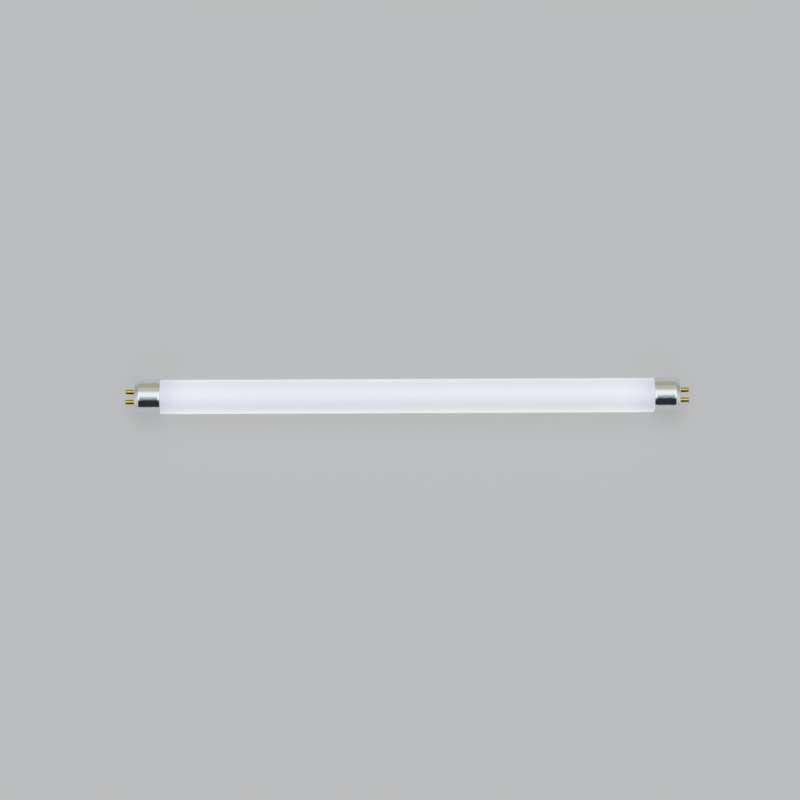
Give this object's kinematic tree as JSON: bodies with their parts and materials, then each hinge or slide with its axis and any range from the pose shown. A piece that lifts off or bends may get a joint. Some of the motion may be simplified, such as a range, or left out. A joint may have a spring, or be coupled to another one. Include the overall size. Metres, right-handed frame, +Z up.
{
  "type": "tube light",
  "caption": "Slim straight tube light: sealed milky glass tube with a drawn metal cap and a pair of brass contact pins on each end.",
  "frame": {"origin": "middle of the tube, on its axis", "axes": "+X along the tube from the left cap to the right cap, +Y along the line through each cap's two pins, +Z up"},
  "size_m": [0.255, 0.0159, 0.0158],
  "materials": {
    "milky_glass": "glossy clear glass over a milky white inner coat",
    "cap_metal": "bright drawn aluminium, polished",
    "insulator": "moulded phenolic, semi-matt",
    "pin_brass": "bright drawn brass",
    "cement": "dull fired capping cement",
    "lead_wire": "plain nickel-plated wire"
  },
  "bodies": {
    "root": {"glass_tube": "milky_glass", "left_cap": "cap_metal", "right_cap": "cap_metal", "left_insulator": "insulator", "right_insulator": "insulator", "left_front_pin": "pin_brass", "left_rear_pin": "pin_brass", "right_front_pin": "pin_brass", "right_rear_pin": "pin_brass", "left_cement": "cement", "right_cement": "cement", "left_front_lead": "lead_wire", "left_rear_lead": "lead_wire", "right_front_lead": "lead_wire", "right_rear_lead": "lead_wire"}
  },
  "joints": []
}
